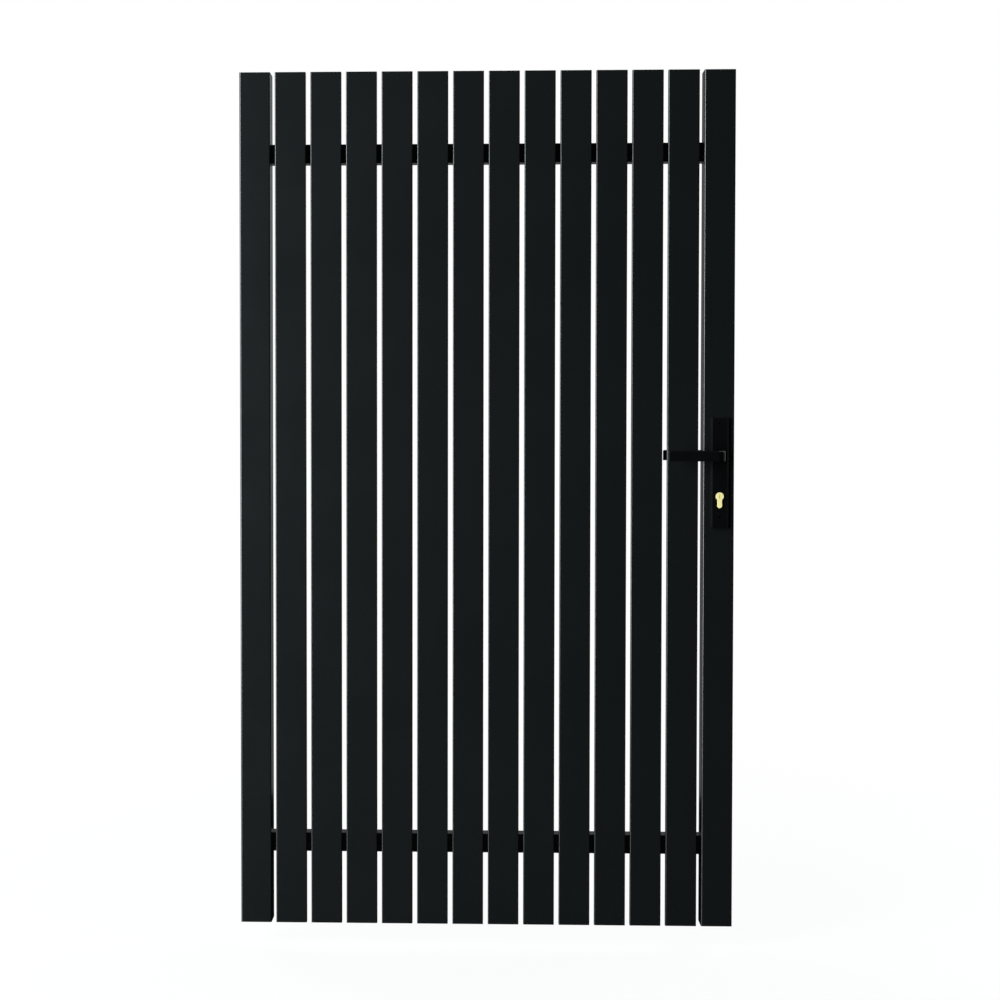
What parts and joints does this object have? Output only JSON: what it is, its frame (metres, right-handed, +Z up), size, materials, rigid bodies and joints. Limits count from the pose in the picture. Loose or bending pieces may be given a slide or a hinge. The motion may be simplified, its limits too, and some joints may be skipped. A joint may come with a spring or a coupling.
{
  "type": "slatted pedestrian gate leaf",
  "caption": "Black powder-coated aluminium pedestrian gate leaf: upright slats on two rails between two stiles, with a lever handle and a brass profile cylinder lock.",
  "frame": {"origin": "middle of the hinge stile's flat outer face, where the leaf is held", "axes": "+X along the leaf from the hinge stile to the lock stile, +Y from the slatted front to the back, +Z up"},
  "size_m": [1.04, 0.148, 1.8],
  "materials": {
    "powder_coat": "satin black powder coat on aluminium",
    "plastic_cap": "moulded black plastic",
    "lock_furniture": "satin black coated lock furniture",
    "brass": "bright brass",
    "steel": "brushed stainless steel"
  },
  "bodies": {
    "leaf": {"bottom_rail": "powder_coat", "cylinder_body": "brass", "dead_bolt": "steel", "forend": "steel", "front_plate": "lock_furniture", "front_plug": "brass", "hinge_stile": "powder_coat", "hinge_stile_bottom_cap": "plastic_cap", "hinge_stile_top_cap": "plastic_cap", "latch_bolt": "steel", "lock_case": "steel", "lock_stile": "powder_coat", "lock_stile_bottom_cap": "plastic_cap", "lock_stile_top_cap": "plastic_cap", "rear_plate": "lock_furniture", "rear_plug": "brass", "slat_01": "powder_coat", "slat_02": "powder_coat", "slat_03": "powder_coat", "slat_04": "powder_coat", "slat_05": "powder_coat", "slat_06": "powder_coat", "slat_07": "powder_coat", "slat_08": "powder_coat", "slat_09": "powder_coat", "slat_10": "powder_coat", "slat_11": "powder_coat", "slat_12": "powder_coat", "slat_bottom_caps": "plastic_cap", "slat_top_caps": "plastic_cap", "top_rail": "powder_coat"},
    "handle": {"front_lever": "lock_furniture", "rear_lever": "lock_furniture", "spindle": "steel"}
  },
  "joints": [
    {"name": "handle_turn", "type": "hinge", "parent": "leaf", "child": "handle", "pos_m": [1.009, 0, 0.094], "axis": [0, -1, 0], "range_deg": [0, 40], "stiffness_Nm_per_rad": 1.5, "springref_deg": -20.05}
  ]
}
